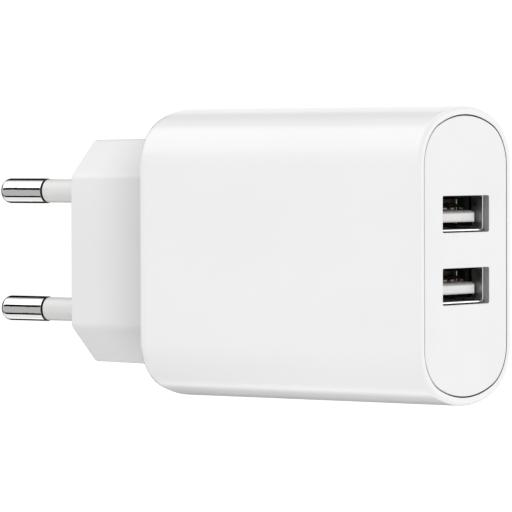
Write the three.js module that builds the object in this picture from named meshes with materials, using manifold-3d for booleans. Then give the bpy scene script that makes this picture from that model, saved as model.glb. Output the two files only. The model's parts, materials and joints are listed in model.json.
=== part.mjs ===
// Two-port USB wall charger with a fixed two-pin Europlug.
//
// Frame: millimetres, origin at the centre of the plug face (midway between the pins, where the plug
// block meets the wall outlet), +X away from the wall towards the USB ports, +Z up through both pins.
// The circuit board stands in the XZ plane on the +Y side, with its parts reaching towards -Y.
import * as THREE from "three";
import { mergeVertices } from "three/addons/utils/BufferGeometryUtils.js";
import Module from "manifold-3d";

const wasm = await Module();
wasm.setup();

// ---- Driving dimensions -------------------------------------------------------------------------

const PIN = { spacing: 19, radius: 2, length: 19, tip: 1.5, sleeved: 10, core: 1.45, tailEnd: 14 };
const COLLAR = { from: 4.9, to: 6.3, radius: 2.15 };
const SLEEVE = { inner: 1.5, outer: 1.87, embedded: 3 };
const BLOCK = { length: 17.4, halfThickness: 6.85, halfHeight: 17.65, halfFlat: 11.9, halfTip: 0.8 };
const BLOCK_INSIDE = { wall: 1.6, faceWall: 3.2, bossRadius: 4, bossLength: 5.8 };
const BLOCK_FLANGE = { thickness: 1.5, overlap: 1.8 };
const BLOCK_EDGE = 0.6;
const DRAFT = 0.3;
const HOUSING = { halfWidth: 12.6, halfHeight: 22.4, crown: 20, corner: 8, length: 52.8, wall: 1.8 };
const REAR_FILLET = 2;
const FRONT_FILLET = 0.35;
const REAR_WALL = 2;
const RIM = 1.2;
const PANEL = { gap: 0.25, thickness: 2, lip: 0.95, edge: 0.12 };
const SKIRT = { depth: 1.7, gap: 0.2, wall: 1 };
const PORT = { width: 12.5, height: 5.5, pitch: 10.8, rise: 0.9, shellRise: 0.28 };
const SHELL = { halfWidth: 6.5, halfHeight: 2.91, sheet: 0.35, length: 13.2 };
const TONGUE = { halfWidth: 5.55, thickness: 1.9, setBack: 0.8, bottom: -1.25, cornerRadius: 0.9 };
const TONGUE_RAMP = { rise: 0.45, length: 0.9, under: 0.2 };
const TONGUE_TAPER = { rise: 0.2, length: 5.5 };
const TONGUE_BLOCK = 2.6;
const GROOVE = { depth: 1.25, clearance: 0.15, behindTip: 0.7 };
const CONTACT = { width: 1, sheet: 0.25, rows: [-3.5, -1, 1, 3.5], bed: 0.35, crown: 0.95, crownLength: 0.5 };
const CONTACT_REACH = { peak: 3.4, rise: 4.4, tip: 1.4, tipHeight: 0.25 };
const BOARD = { face: 7.2, thickness: 1.2, halfHeight: 17.6, rear: 22, front: 66 };
const CLEARANCE = 0.1;
const PAST = 30;

const BACK = BLOCK.length;
const FRONT = BACK + HOUSING.length;
const SHELL_FRONT = FRONT - PANEL.lip;
const SHELL_REAR = SHELL_FRONT - SHELL.length;
const TONGUE_TIP = SHELL_FRONT - TONGUE.setBack;
const BLOCK_REAR = SHELL_REAR + 0.25;
const PORT_HEIGHTS = { upper: PORT.rise + PORT.pitch / 2, lower: PORT.rise - PORT.pitch / 2 };
const PIN_HEIGHTS = { live: PIN.spacing / 2, neutral: -PIN.spacing / 2 };

// ---- Materials ----------------------------------------------------------------------------------

const finish = (color, roughness, metalness = 0) =>
  new THREE.MeshStandardMaterial({ color, roughness, metalness });
const WHITE_GLOSS = finish(0xf2f2f1, 0.22);
const WHITE_SATIN = finish(0xf0f0ef, 0.4);
const SLEEVE_WHITE = finish(0xeeeeec, 0.35);
const NICKEL = finish(0xc9c8c4, 0.12, 1);
const STEEL = finish(0xb4b4b2, 0.3, 1);
const BRONZE = finish(0xb8834f, 0.3, 1);
const GOLD = finish(0xd8b25c, 0.22, 1);
const TONGUE_WHITE = finish(0xe6e4df, 0.45);
const BOARD_GREEN = finish(0x1d5a34, 0.45);
const FERRITE = finish(0x2d2c2e, 0.7);
const BOBBIN_BLACK = finish(0x1b1b1c, 0.5);
const TAPE_YELLOW = finish(0xd9b21f, 0.35);
const COPPER = finish(0xa85f2f, 0.3, 1);
const CAN_BLACK = finish(0x1f2327, 0.35);
const CAN_GREY = finish(0xb9bcc0, 0.3, 1);
const CERAMIC_BLUE = finish(0x2c5fae, 0.35);
const RESISTOR_GREEN = finish(0x4c8f5a, 0.4);
const EPOXY_BLACK = finish(0x19191b, 0.5);
const FISH_PAPER = finish(0xcfc9b4, 0.8);

// ---- Shape and solid helpers --------------------------------------------------------------------

const X = new THREE.Vector3(1, 0, 0);
const Y = new THREE.Vector3(0, 1, 0);
const Z = new THREE.Vector3(0, 0, 1);
const NOTHING = new THREE.Vector3();
const ROUND = 20;

// A three.js geometry as a manifold solid: only positions, shared vertices merged.
function solid(geometry) {
  const bare = geometry.index ? geometry.toNonIndexed() : geometry.clone();
  for (const name of Object.keys(bare.attributes)) {
    if (name !== "position") bare.deleteAttribute(name);
  }
  const merged = mergeVertices(bare, 1e-4);
  const triVerts = new Uint32Array(merged.index.array);
  const vertProperties = new Float32Array(merged.attributes.position.array);
  return new wasm.Manifold(new wasm.Mesh({ numProp: 3, vertProperties, triVerts }));
}

// A manifold solid back as a three.js geometry.
function geometryOf(body) {
  const mesh = body.getMesh();
  const geometry = new THREE.BufferGeometry();
  geometry.setAttribute("position", new THREE.BufferAttribute(mesh.vertProperties, 3));
  geometry.setIndex(new THREE.BufferAttribute(mesh.triVerts, 1));
  return geometry.toNonIndexed();
}

const join = (first, ...others) => others.reduce((body, other) => body.add(other), first);
const cut = (first, ...others) => others.reduce((body, other) => body.subtract(other), first);

function box(x0, x1, y0, y1, z0, z1) {
  const geometry = new THREE.BoxGeometry(x1 - x0, y1 - y0, z1 - z0);
  return solid(geometry.translate((x0 + x1) / 2, (y0 + y1) / 2, (z0 + z1) / 2));
}

// A prism along +X from x0 to x1, of a Shape drawn in the YZ plane. edge rounds both ends by that radius.
function prismX(shape, x0, x1, edge = 0, steps = 6) {
  return solid(prismGeometryX(shape, x0, x1, edge, steps));
}

function prismGeometryX(shape, x0, x1, edge, steps) {
  const geometry = new THREE.ExtrudeGeometry(shape, {
    depth: x1 - x0 - 2 * edge,
    curveSegments: steps,
    bevelEnabled: edge > 0,
    bevelThickness: edge,
    bevelSize: edge,
    bevelOffset: -edge,
    bevelSegments: edge > 1 ? 5 : 2,
  });
  geometry.applyMatrix4(new THREE.Matrix4().makeBasis(Y, Z, X));
  return geometry.translate(x0 + edge, 0, 0);
}

// A prism between y0 and y1, of a Shape drawn in the XZ plane.
function prismY(shape, y0, y1) {
  const options = { depth: y1 - y0, bevelEnabled: false, curveSegments: 2 };
  const geometry = new THREE.ExtrudeGeometry(shape, options);
  geometry.applyMatrix4(new THREE.Matrix4().makeBasis(X, Z, Y.clone().negate()));
  return solid(geometry.translate(0, y1, 0));
}

// A prism between z0 and z1, of a Shape drawn in the XY plane.
function prismZ(shape, z0, z1) {
  const options = { depth: z1 - z0, bevelEnabled: false, curveSegments: 4 };
  const geometry = new THREE.ExtrudeGeometry(shape, options);
  return solid(geometry.translate(0, 0, z0));
}

// A turned solid about the line through centre along axis. profile holds [along, radius] pairs from
// the axis back to the axis, or round a closed ring.
function turned(profile, axis, centre = NOTHING, sides = ROUND) {
  const points = profile.map(([along, radius]) => new THREE.Vector2(radius, along));
  const geometry = new THREE.LatheGeometry(points, sides);
  const turn = new THREE.Quaternion().setFromUnitVectors(Y, axis);
  geometry.applyQuaternion(turn);
  return solid(geometry.translate(centre.x, centre.y, centre.z));
}

// Profiles for turned(): a plain rod, and a ring with a bore.
const rod = (from, to, radius) => [[from, 0], [from, radius], [to, radius], [to, 0]];
const ring = (from, to, inner, outer) => [
  [from, inner],
  [from, outer],
  [to, outer],
  [to, inner],
  [from, inner],
];

function polygon(points) {
  const shape = new THREE.Shape();
  shape.setFromPoints(points.map(([u, v]) => new THREE.Vector2(u, v)));
  return shape;
}

function roundedRect(u, v, halfU, halfV, radius) {
  const shape = new THREE.Shape();
  shape.absarc(u + halfU - radius, v + halfV - radius, radius, 0, Math.PI / 2);
  shape.absarc(u - halfU + radius, v + halfV - radius, radius, Math.PI / 2, Math.PI);
  shape.absarc(u - halfU + radius, v - halfV + radius, radius, Math.PI, 1.5 * Math.PI);
  shape.absarc(u + halfU - radius, v - halfV + radius, radius, 1.5 * Math.PI, 2 * Math.PI);
  return shape;
}

// ---- Housing outline: straight sides closed by three-centred arches ------------------------------

// The outline moved inwards by inset. Each end is a wide crown arc between two corner arcs.
function housingOutline(inset) {
  const crown = HOUSING.crown - inset;
  const corner = HOUSING.corner - inset;
  const cornerY = HOUSING.halfWidth - HOUSING.corner;
  const crownZ = HOUSING.halfHeight - HOUSING.crown;
  const reach = HOUSING.crown - HOUSING.corner;
  const cornerZ = crownZ + Math.sqrt(reach ** 2 - cornerY ** 2);
  const meet = Math.acos(cornerY / reach);
  const shape = new THREE.Shape();
  shape.absarc(cornerY, cornerZ, corner, 0, meet);
  shape.absarc(0, crownZ, crown, meet, Math.PI - meet);
  shape.absarc(-cornerY, cornerZ, corner, Math.PI - meet, Math.PI);
  shape.absarc(-cornerY, -cornerZ, corner, Math.PI, Math.PI + meet);
  shape.absarc(0, -crownZ, crown, Math.PI + meet, 2 * Math.PI - meet);
  shape.absarc(cornerY, -cornerZ, corner, 2 * Math.PI - meet, 2 * Math.PI);
  return shape;
}

// Flattened hexagon of the plug block with rounded corners, moved outwards by grow.
function plugOutline(grow) {
  const { halfThickness, halfHeight, halfFlat, halfTip } = BLOCK;
  const diagonal = grow * Math.tan(Math.PI / 8);
  const side = halfThickness + grow;
  const flat = halfFlat + diagonal;
  const top = halfHeight + grow;
  const tip = halfTip + diagonal;
  const corners = [[side, -flat], [side, flat], [tip, top], [-tip, top]];
  corners.push([-side, flat], [-side, -flat], [-tip, -top], [tip, -top]);
  const shape = new THREE.Shape();
  const ease = Math.min(1.1, 0.9 * tip);
  corners.forEach((corner, i) => {
    const here = new THREE.Vector2(...corner);
    const before = new THREE.Vector2(...corners[(i + 7) % 8]);
    const after = new THREE.Vector2(...corners[(i + 1) % 8]);
    const start = here.clone().add(before.sub(here).setLength(ease));
    const end = here.clone().add(after.sub(here).setLength(ease));
    if (i) shape.lineTo(start.x, start.y);
    else shape.moveTo(start.x, start.y);
    shape.quadraticCurveTo(here.x, here.y, end.x, end.y);
  });
  shape.closePath();
  return shape;
}

// The plug block's prism widens by DRAFT on every side between the plug face and the housing.
function draftedPlug(x0, x1, edge) {
  const geometry = prismGeometryX(plugOutline(0), x0, x1, edge, 3);
  const position = geometry.getAttribute("position");
  for (let i = 0; i < position.count; i++) {
    const share = position.getX(i) / BLOCK.length;
    position.setY(i, position.getY(i) * (1 + (share * DRAFT) / BLOCK.halfThickness));
    position.setZ(i, position.getZ(i) * (1 + (share * DRAFT) / BLOCK.halfHeight));
  }
  return solid(geometry);
}

// ---- Enclosure ----------------------------------------------------------------------------------

const SNAP = { from: 63, to: 65, halfLength: 3.5, depth: 0.45, clearance: 0.3 };
const RAIL = { width: 1.1, reach: 16.6, end: 20, clearance: 0.15, sunk: 0.6 };

// Rails above and below, in pairs that hold the board's long edges between them.
function boardRails() {
  const boardBack = BOARD.face + BOARD.thickness;
  const insideWall = prismX(housingOutline(HOUSING.wall - RAIL.sunk), BACK + 1, FRONT - PANEL.thickness);
  const rails = [];
  for (const side of [-1, 1]) {
    const z = [side * RAIL.reach, side * RAIL.end].sort((a, b) => a - b);
    const front = BOARD.face - RAIL.clearance;
    const behind = boardBack + RAIL.clearance;
    rails.push(box(BOARD.rear, BOARD.front, front - RAIL.width, front, ...z));
    rails.push(box(BOARD.rear, BOARD.front, behind, behind + RAIL.width, ...z));
  }
  return rails.map((rail) => rail.intersect(insideWall));
}

function makeHousing() {
  const rearRounded = prismX(housingOutline(0), BACK, FRONT + PAST, REAR_FILLET);
  const frontRounded = prismX(housingOutline(0), BACK - PAST, FRONT, FRONT_FILLET);
  const outside = rearRounded.intersect(frontRounded);
  const ledge = FRONT - PANEL.thickness;
  const cavity = prismX(housingOutline(HOUSING.wall), BACK + REAR_WALL, ledge + 0.01);
  const pocket = prismX(housingOutline(RIM), ledge, FRONT + PAST);
  const plugHole = prismX(plugOutline(DRAFT + CLEARANCE), BACK - 1, BACK + REAR_WALL + 1, 0, 3);
  const inner = HOUSING.halfWidth - HOUSING.wall;
  const latch = inner + SNAP.depth + CLEARANCE;
  const halfLength = SNAP.halfLength + SNAP.clearance;
  const snapPocket = (side) => {
    const [low, high] = side > 0 ? [inner - 1, latch] : [-latch, 1 - inner];
    return box(SNAP.from, SNAP.to, low, high, -halfLength, halfLength);
  };
  const shell = cut(outside, cavity, pocket, plugHole, snapPocket(1), snapPocket(-1));
  return join(shell, ...boardRails());
}

// A hook behind the panel that reaches through to the snap pocket in one broad wall.
function makeSnapHook(side) {
  const inner = HOUSING.halfWidth - HOUSING.wall;
  const face = side * (inner - SKIRT.gap);
  const root = side * (inner - SKIRT.gap - SKIRT.wall);
  const nose = side * (inner + SNAP.depth - 0.05);
  const panelBack = FRONT - PANEL.thickness;
  const shoulder = SNAP.to - SNAP.clearance;
  const end = SNAP.from - SNAP.clearance;
  const profile = polygon([
    [panelBack + 0.5, root],
    [panelBack + 0.5, face],
    [shoulder, face],
    [shoulder, nose],
    [shoulder - 0.5, nose],
    [end, face],
    [end, root],
  ]);
  return prismZ(profile, -SNAP.halfLength, SNAP.halfLength);
}

function makePanel() {
  const back = FRONT - PANEL.thickness;
  const plate = prismX(housingOutline(RIM + PANEL.gap), back, FRONT, PANEL.edge);
  const skirtInset = HOUSING.wall + SKIRT.gap;
  const skirtOut = prismX(housingOutline(skirtInset), back - SKIRT.depth, back + 0.5);
  const skirtIn = prismX(housingOutline(skirtInset + SKIRT.wall), back - SKIRT.depth - 1, back);
  const openings = Object.values(PORT_HEIGHTS).flatMap((z) => {
    const window = roundedRect(0, z, PORT.width / 2, PORT.height / 2, 0.25);
    const pocketY = SHELL.halfWidth + PANEL.gap;
    const pocketZ = SHELL.halfHeight + PANEL.gap;
    const pocket = roundedRect(0, z + PORT.shellRise, pocketY, pocketZ, 0.5);
    const seat = SHELL_FRONT + 0.05;
    return [prismX(window, back - 1, FRONT + 1, 0, 2), prismX(pocket, back - 1, seat, 0, 2)];
  });
  return cut(join(plate, cut(skirtOut, skirtIn), makeSnapHook(1), makeSnapHook(-1)), ...openings);
}

// ---- Plug ---------------------------------------------------------------------------------------

// The stepped hole for a pin: the sleeve's part, the thin core and the collar that holds the pin.
function pinBore(z) {
  const sleeveBore = SLEEVE.outer + CLEARANCE;
  const coreBore = PIN.core + CLEARANCE;
  const collarBore = COLLAR.radius + CLEARANCE;
  const stop = SLEEVE.embedded + CLEARANCE;
  const end = BLOCK_INSIDE.faceWall + BLOCK_INSIDE.bossLength + 1;
  const profile = [
    [-1, 0],
    [-1, sleeveBore],
    [stop, sleeveBore],
    [stop, coreBore],
    [COLLAR.from - CLEARANCE, coreBore],
    [COLLAR.from - CLEARANCE, collarBore],
    [COLLAR.to + CLEARANCE, collarBore],
    [COLLAR.to + CLEARANCE, coreBore],
    [end, coreBore],
    [end, 0],
  ];
  return turned(profile, X, new THREE.Vector3(0, 0, z));
}

function makePlugBlock() {
  const { wall, faceWall, bossRadius, bossLength } = BLOCK_INSIDE;
  const flangeFrom = BACK + REAR_WALL + CLEARANCE;
  const flangeTo = flangeFrom + BLOCK_FLANGE.thickness;
  const body = draftedPlug(0, flangeTo + 2, BLOCK_EDGE);
  const trimmed = cut(body, box(flangeTo, flangeTo + PAST, -PAST, PAST, -PAST, PAST));
  const flange = prismX(plugOutline(BLOCK_FLANGE.overlap), flangeFrom, flangeTo, 0, 3);
  const hollow = prismX(plugOutline(-wall), faceWall, flangeTo + 1, 0, 3);
  const pins = Object.values(PIN_HEIGHTS);
  const bossProfile = rod(faceWall - 0.1, faceWall + bossLength, bossRadius);
  const bosses = pins.map((z) => turned(bossProfile, X, new THREE.Vector3(0, 0, z)));
  return cut(join(cut(join(trimmed, flange), hollow), ...bosses), ...pins.map(pinBore));
}

function makePin(z) {
  const profile = [];
  const tipSteps = 6;
  for (let i = 0; i <= tipSteps; i++) {
    const turn = (i / tipSteps) * (Math.PI / 2);
    const along = -PIN.length + PIN.tip * (1 - Math.cos(turn));
    profile.push([along, PIN.radius * Math.sin(turn)]);
  }
  const shoulder = -PIN.sleeved;
  profile.push([shoulder - 0.15, PIN.radius], [shoulder, PIN.radius - 0.15], [shoulder, PIN.core]);
  profile.push([COLLAR.from, PIN.core], [COLLAR.from, COLLAR.radius]);
  profile.push([COLLAR.to, COLLAR.radius], [COLLAR.to, PIN.core]);
  profile.push([PIN.tailEnd - 0.3, PIN.core], [PIN.tailEnd, PIN.core - 0.3], [PIN.tailEnd, 0]);
  return turned(profile, X, new THREE.Vector3(0, 0, z));
}

function makeSleeve(z) {
  const from = -PIN.sleeved + 0.05;
  return turned(ring(from, SLEEVE.embedded, SLEEVE.inner, SLEEVE.outer), X, new THREE.Vector3(0, 0, z));
}

// A bent strip from the board's rear edge through the hollow plug block, resting on the pin's tail.
function makePinSpring(z) {
  const sheet = 0.4;
  const halfWidth = 1.5;
  const rest = PIN.core + 0.05;
  const top = BOARD.face - 0.05;
  const strip = polygon([
    [10, rest + 0.5],
    [10.6, rest],
    [13.2, rest],
    [21.3, 4.2],
    [22.3, top - sheet],
    [24.2, top - sheet],
    [24.2, top],
    [22, top],
    [20.9, 4.4],
    [13.1, rest + sheet],
    [10.8, rest + sheet],
    [10.3, rest + sheet + 0.4],
  ]);
  return prismZ(strip, z - halfWidth, z + halfWidth);
}

// ---- Circuit board and its parts ----------------------------------------------------------------

const LEG = { length: 1.6, rows: [57.5, 63.4], end: 9.2 };

// The z of the middle of each shell's upper and lower sheet, where its legs come from.
function legHeights(port) {
  const middle = PORT_HEIGHTS[port] + PORT.shellRise;
  const off = SHELL.halfHeight - SHELL.sheet / 2;
  return [middle - off, middle + off];
}

function makeBoard() {
  const nick = 2.5;
  const { rear, front, halfHeight } = BOARD;
  const outline = polygon([
    [rear, -halfHeight + nick],
    [rear + nick, -halfHeight],
    [front, -halfHeight],
    [front, halfHeight],
    [rear + nick, halfHeight],
    [rear, halfHeight - nick],
  ]);
  const back = BOARD.face + BOARD.thickness;
  const slots = [box(41.2, 42.8, BOARD.face - 1, back + 1, -16, -9.5)];
  for (const port of Object.keys(PORT_HEIGHTS)) {
    for (const z of legHeights(port)) {
      for (const x of LEG.rows) {
        const end = x + LEG.length + 0.25;
        slots.push(box(x - 0.25, end, BOARD.face - 1, back + 1, z - 0.45, z + 0.45));
      }
    }
  }
  return cut(prismY(outline, BOARD.face, back), ...slots);
}

// A can standing on the board, with the crimped groove near its foot and a rolled edge at its head.
function makeCapacitor(x, z, radius, height) {
  const profile = [
    [0, 0],
    [0, radius - 0.4],
    [0.4, radius],
    [1.2, radius],
    [1.6, radius - 0.35],
    [2, radius - 0.35],
    [2.4, radius],
    [height - 0.5, radius],
    [height, radius - 0.5],
    [height, radius - 1.2],
    [height - 0.3, radius - 1.4],
    [height - 0.3, 0],
  ];
  const foot = new THREE.Vector3(x, BOARD.face - 0.1, z);
  return turned(profile, Y.clone().negate(), foot, 20);
}

const TRANSFORMER = { x: 41.5, y: 0.6, z: 0.4, halfLength: 8, halfHeight: 7, halfDepth: 2.5 };
const CORE_YOKE = 2.6;
const CORE_LEG = 2.6;
const CORE_MIDDLE = 2;

// One E-shaped ferrite half. side is +1 for the upper half and -1 for the lower.
function makeCoreHalf(side) {
  const { x, y, z, halfLength, halfHeight, halfDepth } = TRANSFORMER;
  const split = z + side * 0.03;
  const far = z + side * halfHeight;
  const span = (a, b) => (a < b ? [a, b] : [b, a]);
  const depth = [y - halfDepth, y + halfDepth];
  const yoke = box(x - halfLength, x + halfLength, ...depth, ...span(far - side * CORE_YOKE, far));
  const leg = (low, high) => box(low, high, ...depth, ...span(split, far));
  const rear = leg(x - halfLength, x - halfLength + CORE_LEG);
  const middle = leg(x - CORE_MIDDLE, x + CORE_MIDDLE);
  const front = leg(x + halfLength - CORE_LEG, x + halfLength);
  return join(yoke, rear, middle, front);
}

const BOBBIN = { tube: 0.6, flange: 0.6, halfHeight: 4.3, halfX: 5.2, halfY: 5.5 };

function makeBobbin() {
  const { x, y, z, halfDepth } = TRANSFORMER;
  const { tube, flange, halfHeight, halfX, halfY } = BOBBIN;
  const bore = { x: CORE_MIDDLE + CLEARANCE, y: halfDepth + CLEARANCE };
  const plate = (low) => box(x - halfX, x + halfX, y - halfY, y + halfY, low, low + flange);
  const sleeve = box(
    x - bore.x - tube,
    x + bore.x + tube,
    y - bore.y - tube,
    y + bore.y + tube,
    z - halfHeight,
    z + halfHeight,
  );
  const hole = box(x - bore.x, x + bore.x, y - bore.y, y + bore.y, z - 9, z + 9);
  const footHeight = 1.6;
  const low = z - halfHeight;
  const foot = box(x - halfX, x + halfX, y + halfY - 1, BOARD.face - 0.05, low, low + footHeight);
  const otherFoot = foot.translate([0, 0, 2 * halfHeight - footHeight]);
  return cut(join(sleeve, plate(z - halfHeight), plate(z + halfHeight - flange), foot, otherFoot), hole);
}

function makeWinding() {
  const { x, y, z, halfDepth } = TRANSFORMER;
  const gap = 0.08;
  const innerX = CORE_MIDDLE + CLEARANCE + BOBBIN.tube + gap;
  const innerY = halfDepth + CLEARANCE + BOBBIN.tube + gap;
  const build = 1.5;
  const low = z - BOBBIN.halfHeight + 1.7;
  const high = z + BOBBIN.halfHeight - 1.7;
  const outside = prismZ(roundedRect(x, y, innerX + build, innerY + build, 1), low, high);
  return cut(outside, box(x - innerX, x + innerX, y - innerY, y + innerY, low - 1, high + 1));
}

// The polyester band that holds the two core halves together.
function makeCoreTape() {
  const { x, y, z, halfLength, halfHeight } = TRANSFORMER;
  const loose = 0.05;
  const sheet = 0.2;
  const half = { x: halfLength + loose, z: halfHeight + loose };
  const band = (grow) => roundedRect(x, z, half.x + grow, half.z + grow, 0.2 + grow);
  const hole = prismY(roundedRect(x, z, half.x, half.z, 0.05), y - 9, y + 9);
  return cut(prismY(band(sheet), y - 1.8, y + 1.8), hole);
}

// Filter choke: a drum core standing on the board.
const CHOKE = { x: 28.2, z: -12.6, radius: 3.2, waist: 1.6, height: 8 };

function makeChokeCore() {
  const { radius, waist, height } = CHOKE;
  const flange = 1.2;
  const profile = [
    [0, 0],
    [0, radius],
    [flange, radius],
    [flange, waist],
    [height - flange, waist],
    [height - flange, radius],
    [height, radius],
    [height, 0],
  ];
  return turned(profile, Y.clone().negate(), new THREE.Vector3(CHOKE.x, BOARD.face - 0.1, CHOKE.z), 20);
}

function makeChokeWinding() {
  const profile = ring(1.25, CHOKE.height - 1.25, CHOKE.waist + 0.1, CHOKE.radius - 0.4);
  return turned(profile, Y.clone().negate(), new THREE.Vector3(CHOKE.x, BOARD.face - 0.1, CHOKE.z), 20);
}

// Safety capacitor: a dipped disc on two legs, bridging the primary and secondary sides.
function makeDiscCapacitor(x, z) {
  const radius = 3.7;
  const half = 1.5;
  const y = BOARD.face - radius - 1.6;
  const profile = [
    [-half, 0],
    [-half, radius - 1.2],
    [-half * 0.55, radius - 0.25],
    [0, radius],
    [half * 0.55, radius - 0.25],
    [half, radius - 1.2],
    [half, 0],
  ];
  const disc = turned(profile, Z, new THREE.Vector3(x, y, z), 20);
  const leg = (at) => turned(rod(0, radius + 1.5, 0.3), Y, new THREE.Vector3(at, y, z), 8);
  return join(disc, leg(x - 2.5), leg(x + 2.5));
}

// Fusible resistor lying along Z above the board, with its legs bent down to it.
function makeFuseResistor(x, z) {
  const y = BOARD.face - 3;
  const half = 3;
  const profile = [
    [-half, 0],
    [-half, 1.3],
    [-half + 0.5, 1.75],
    [-half + 1.6, 1.75],
    [-half + 2.1, 1.5],
    [half - 2.1, 1.5],
    [half - 1.6, 1.75],
    [half - 0.5, 1.75],
    [half, 1.3],
    [half, 0],
  ];
  const wire = 0.3;
  const body = turned(profile, Z, new THREE.Vector3(x, y, z), 16);
  const leg = (side) => {
    const across = turned(rod(half - 0.2, half + 0.8, wire), Z.clone().multiplyScalar(side), NOTHING, 8);
    const down = turned(rod(-wire, 2.9, wire), Y, new THREE.Vector3(0, 0, side * (half + 0.8)), 8);
    return join(across, down).translate([x, y, z]);
  };
  return join(body, leg(1), leg(-1));
}

// A moulded chip on the board's face, with pairs of gull-wing legs along its upper and lower edges.
function makeChip(x, z, length, width, height, legs, legWidth = 0.4) {
  const seat = BOARD.face - 0.05;
  const foot = 0.2;
  const top = seat - height;
  const middle = (top + seat) / 2;
  const half = width / 2;
  const slope = 0.15;
  const body = polygon([
    [seat - foot, z - half + slope],
    [middle, z - half],
    [top, z - half + slope],
    [top, z + half - slope],
    [middle, z + half],
    [seat - foot, z + half - slope],
  ]);
  const block = prismX(body, x - length / 2, x + length / 2);
  const reach = 1;
  const pins = [];
  for (let i = 0; i < legs; i++) {
    const at = x + length * ((i + 0.5) / legs - 0.5);
    for (const side of [-1, 1]) {
      const point = (y, out) => [y, z + side * (half + out)];
      const leg = polygon([
        point(middle - 0.1, -0.3),
        point(middle - 0.1, 0.35),
        point(seat - 0.2, 0.55),
        point(seat - 0.2, reach),
        point(seat, reach),
        point(seat, 0.4),
        point(middle + 0.1, 0.2),
        point(middle + 0.1, -0.3),
      ]);
      pins.push(prismX(leg, at - legWidth / 2, at + legWidth / 2));
    }
  }
  return join(block, ...pins);
}

// Fish paper between the board's solder side and the housing wall.
const makeInsulation = () => box(23, 60, 9.95, 10.25, -14.5, 14.5);

// ---- USB receptacles ----------------------------------------------------------------------------

const FINGER = { y: 3.4, halfWidth: 1, from: 59.2, to: 66.4, dip: 0.45 };
const LEAF = { from: 60.9, to: 67.2, tip: 64.7, halfHeight: 1.9, slotHalfHeight: 2.2, dip: 0.4 };

// A leaf in each side wall of the shell, standing in a slot and bowed inwards.
function addSideLeaf(shell, z, side) {
  const { halfWidth, sheet } = SHELL;
  const { from, to, tip, halfHeight, slotHalfHeight, dip } = LEAF;
  const at = (off) => side * (halfWidth + off);
  const across = [at(-2 * sheet), at(1)].sort((a, b) => a - b);
  const slot = box(from, to, ...across, z - slotHalfHeight, z + slotHalfHeight);
  const leaf = polygon([
    [from - 0.2, at(-0.05)],
    [tip - 1.5, at(-dip - 0.05)],
    [tip, at(-dip + 0.15)],
    [tip, at(-dip + 0.15 - sheet)],
    [tip - 1.5, at(-dip - sheet - 0.05)],
    [from - 0.2, at(-sheet)],
  ]);
  return join(cut(shell, slot), prismZ(leaf, z - halfHeight, z + halfHeight));
}

// Folded steel shell with two spring fingers in each broad wall, a leaf in each side wall and four
// legs through the board.
function makeUsbShell(port) {
  const z = PORT_HEIGHTS[port] + PORT.shellRise;
  const { halfWidth, halfHeight, sheet } = SHELL;
  const outer = prismX(roundedRect(0, z, halfWidth, halfHeight, 0.7), SHELL_REAR, SHELL_FRONT, 0, 2);
  const bore = roundedRect(0, z, halfWidth - sheet, halfHeight - sheet, 0.35);
  let shell = cut(outer, prismX(bore, SHELL_REAR - 1, SHELL_FRONT + 1, 0, 2));
  for (const side of [-1, 1]) {
    for (const y of [-FINGER.y, FINGER.y]) {
      const at = (off) => z + side * (halfHeight + off);
      const slot = [at(-2 * sheet), at(1)].sort((a, b) => a - b);
      const width = FINGER.halfWidth;
      const hole = box(FINGER.from, FINGER.to, y - width - 0.3, y + width + 0.3, ...slot);
      const finger = polygon([
        [FINGER.to + 0.2, at(-sheet)],
        [FINGER.to + 0.2, at(-0.05)],
        [FINGER.from + 2, at(-FINGER.dip - 0.05)],
        [FINGER.from + 0.6, at(0.1 - FINGER.dip)],
        [FINGER.from + 0.6, at(0.1 - FINGER.dip - sheet)],
        [FINGER.from + 2, at(-FINGER.dip - sheet - 0.05)],
      ]);
      shell = join(cut(shell, hole), prismY(finger, y - width, y + width));
    }
    shell = addSideLeaf(shell, z, side);
  }
  for (const height of legHeights(port)) {
    for (const x of LEG.rows) {
      const low = height - sheet / 2;
      shell = join(shell, box(x, x + LEG.length, halfWidth - 0.9, LEG.end, low, low + sheet));
    }
  }
  return shell;
}

// Moulded insulator: the block that closes the shell's rear and the tongue that carries the contacts.
function makeTongue(port) {
  const z = PORT_HEIGHTS[port];
  const bottom = z + TONGUE.bottom;
  const top = bottom + TONGUE.thickness;
  const rearWidth = SHELL.halfWidth - SHELL.sheet - CLEARANCE;
  const rearHeight = SHELL.halfHeight - SHELL.sheet - CLEARANCE;
  const rear = roundedRect(0, z + PORT.shellRise, rearWidth, rearHeight, 0.4);
  const block = prismX(rear, BLOCK_REAR, BLOCK_REAR + TONGUE_BLOCK, 0, 2);
  const side = polygon([
    [BLOCK_REAR + 1, bottom],
    [TONGUE_TIP - TONGUE_RAMP.under, bottom],
    [TONGUE_TIP, bottom + TONGUE_RAMP.under],
    [TONGUE_TIP, top - TONGUE_TAPER.rise - TONGUE_RAMP.rise],
    [TONGUE_TIP - TONGUE_RAMP.length, top - TONGUE_TAPER.rise],
    [TONGUE_TIP - TONGUE_TAPER.length, top],
    [BLOCK_REAR + 1, top],
  ]);
  const { halfWidth, cornerRadius } = TONGUE;
  const plan = roundedRect(TONGUE_TIP - 10, 0, 10, halfWidth, cornerRadius);
  const tongue = prismY(side, -PAST, PAST).intersect(prismZ(plan, bottom - 1, top + 1));
  const grooveEnd = TONGUE_TIP - GROOVE.behindTip;
  const grooves = CONTACT.rows.map((y) => {
    const half = CONTACT.width / 2 + GROOVE.clearance;
    return box(BLOCK_REAR - 1, grooveEnd, y - half, y + half, top - GROOVE.depth, top + 0.15);
  });
  return cut(join(block, tongue), ...grooves);
}

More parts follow.
